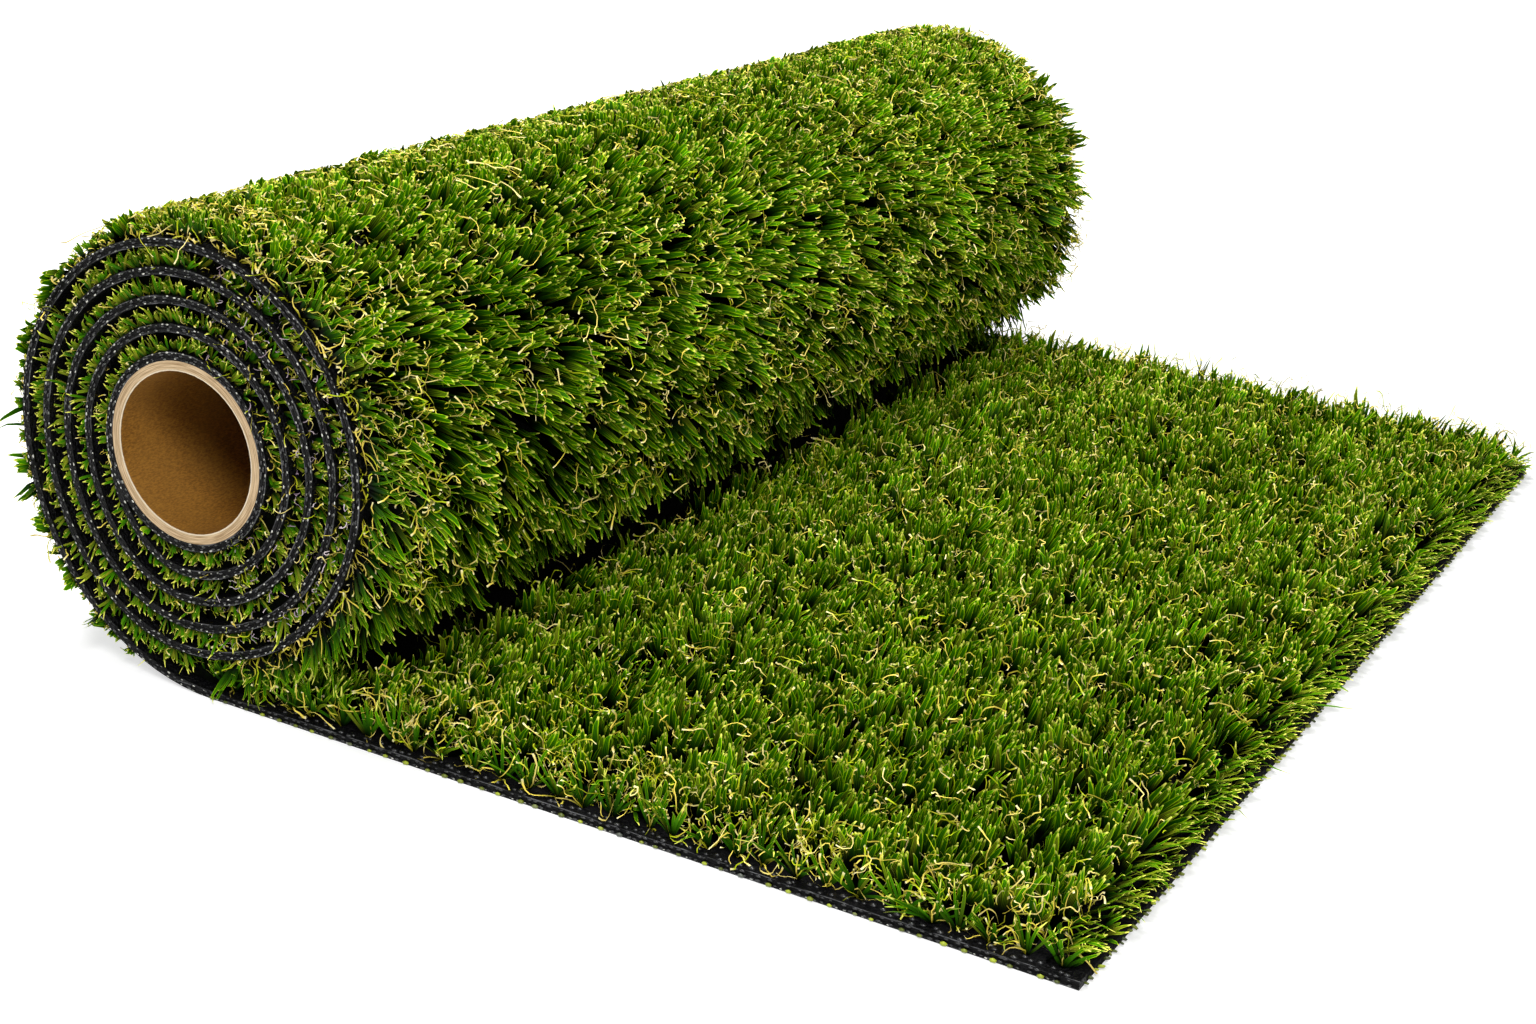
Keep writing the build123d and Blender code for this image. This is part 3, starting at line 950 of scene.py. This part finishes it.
def pressed_pile():
    """A filling between the turns, set back from the cut ends, where the pile is squeezed; it is near black
    with painted shade.
    """
    setback = 9 * MM
    angles = np.radians(np.arange(0, 360, 5))
    bm = bmesh.new()
    loops = []
    for y in (-HALF_WIDTH + setback, HALF_WIDTH - setback):
        for edge in (turn_place(-1, angles, BACKING / 2), turn_place(TURNS_OVER_FIRST, angles, BACKING / 2)):
            points = [bm.verts.new((x, y, z)) for x, z in edge]
            loops.append([bm.edges.new((points[k - 1], points[k])) for k in range(len(points))])
    near_inner, near_outer, far_inner, far_outer = loops
    ends = ((near_inner, near_outer), (far_inner, far_outer))
    for first, second in ends + ((near_inner, far_inner), (near_outer, far_outer)):
        bmesh.ops.bridge_loops(bm, edges=first + second)
    bmesh.ops.recalc_face_normals(bm, faces=bm.faces)
    return finished(mesh_object("pressed_pile", bm), SHADE, "pile", "rolled_pile")


def dress_frame():
    """The CAD tube and backing keep their shape and get their finish."""
    for node, material in (("core_tube", KRAFT), ("turf_backing", LATEX)):
        materials = frame["nodes"][node].data.materials
        materials.clear()
        materials.append(material)


def seen_directly(tree):
    """1 for what the camera sees, itself or in a reflection or through glass, and 0 for lighting."""
    ways = ("Is Camera Ray", "Is Glossy Ray", "Is Transmission Ray")
    camera, glossy, through = (add_node(tree, "LightPath", output=way) for way in ways)
    return (camera + glossy + through).clamped(0.0, 1.0)


def light_and_floor():
    """A pale studio: a floor that keeps the shadow, a large lamp overhead, and a dim one in front."""
    pale = {"Base_Color": (0.63, 0.63, 0.63, 1), "Roughness": 1.0, "Specular_IOR_Level": 0.0}
    white, tree, slots = new_material("studio_floor", Emission_Strength=1.0, **pale)
    seen = seen_directly(tree)
    place = add_node(tree, "TexCoord", output=3)
    # The camera sees the floor shine by itself, and least beside the free end, whose shadow is faint.
    beside_free_end = (0.4, 0.0, 0.0)
    away = place.node("VectorMath", {"operation": "DISTANCE"}, {0: place, 1: beside_free_end}, output=1)
    away = away.clamped(0.35, 1.4)
    near = seen.blend((0, 0, 0, 1), (0.39, 0.39, 0.39, 1))
    far = seen.blend((0, 0, 0, 1), (1, 1, 1, 1))
    away.blend(near, far).feed(slots["Emission Color"])
    bm = bmesh.new()
    bmesh.ops.create_grid(bm, x_segments=1, y_segments=1, size=12)
    floor = mesh_object("studio_floor", bm)
    floor.data.materials.append(white)

    def lamp(name, place, target, size, power):
        """A round lamp that faces its target."""
        data = bpy.data.lights.new(name, "AREA")
        data.shape = "DISK"
        data.size = size
        data.energy = power
        made = new_object(name, data)
        made.location = place
        made.rotation_euler = (Vector(target) - Vector(place)).to_track_quat("-Z", "Y").to_euler()

    lamp("overhead_lamp", (-0.45, -0.1, 2.4), (0, 0, 0.1), 1.1, 66)
    lamp("front_lamp", (1.15, -1.9, 2.0), (-0.2, -0.3, 0.1), 1.0, 46)

    world = bpy.data.worlds.new("studio")
    bpy.context.scene.world = world
    world.use_nodes = True
    tree = world.node_tree
    background = tree.nodes["Background"].inputs
    (0.25 + 0.75 * seen_directly(tree)).feed(background["Strength"])
    background["Color"].default_value = (1, 1, 1, 1)


def photo_camera():
    """The camera of the photograph, with its angles in radians and its focal length in pixels."""
    focal, frame_width, sensor = 2439.2, 1536, 36.0
    yaw, pitch, roll = -0.476, -0.353, 0.079
    forward = Vector((math.sin(yaw) * math.cos(pitch), math.cos(yaw) * math.cos(pitch), math.sin(pitch)))
    level = Vector((math.cos(yaw), -math.sin(yaw), 0))
    upright = level.cross(forward)
    right = math.cos(roll) * level + math.sin(roll) * upright
    upward = math.cos(roll) * upright - math.sin(roll) * level
    place = Vector((AXIS_X + 0.907853, -1.522137, 0.630898))
    data = bpy.data.cameras.new("photo_camera")
    data.sensor_width = sensor
    data.lens = focal * sensor / frame_width
    camera = new_object("photo_camera", data)
    camera.matrix_world = Matrix.Translation(place) @ Matrix((right, upward, -forward)).transposed().to_4x4()
    bpy.context.scene.camera = camera


def main():
    """Builds it all. The order matters, since the pieces share one line of random draws."""
    rng = np.random.default_rng(SEED)
    photo_camera()
    light_and_floor()
    dress_frame()
    pressed_pile()
    flat = np.linspace(CREASE, FREE_END - 28 * MM, 3)
    plant_flat(rng, "flat_tufts_inner", flat[0], flat[1])
    plant_flat(rng, "flat_tufts_outer", flat[1], flat[2])
    plant_edges(rng)
    plant_under_roll(rng)
    plant_free_end(rng)
    turns = np.linspace(BACK_OF_PILE, UNDER_ROLL, 5)
    for part, first, last in zip(("back", "top", "shoulder", "front"), turns, turns[1:]):
        plant_roll(rng, f"roll_tufts_{part}", first, last)
    straw_on_flat(rng, FLAT_STRAWS)
    straw_on_roll(rng, ROLL_STRAWS)
    tufts_in_cut_ends(rng)
    straw_in_cut_ends(rng)
    marks_on_turns(rng)
    marks_on_flat(rng)
    plant_thatch(rng)
    threads_in_cut_ends(rng)
    bpy.context.scene.view_settings.view_transform = "Standard"


main()
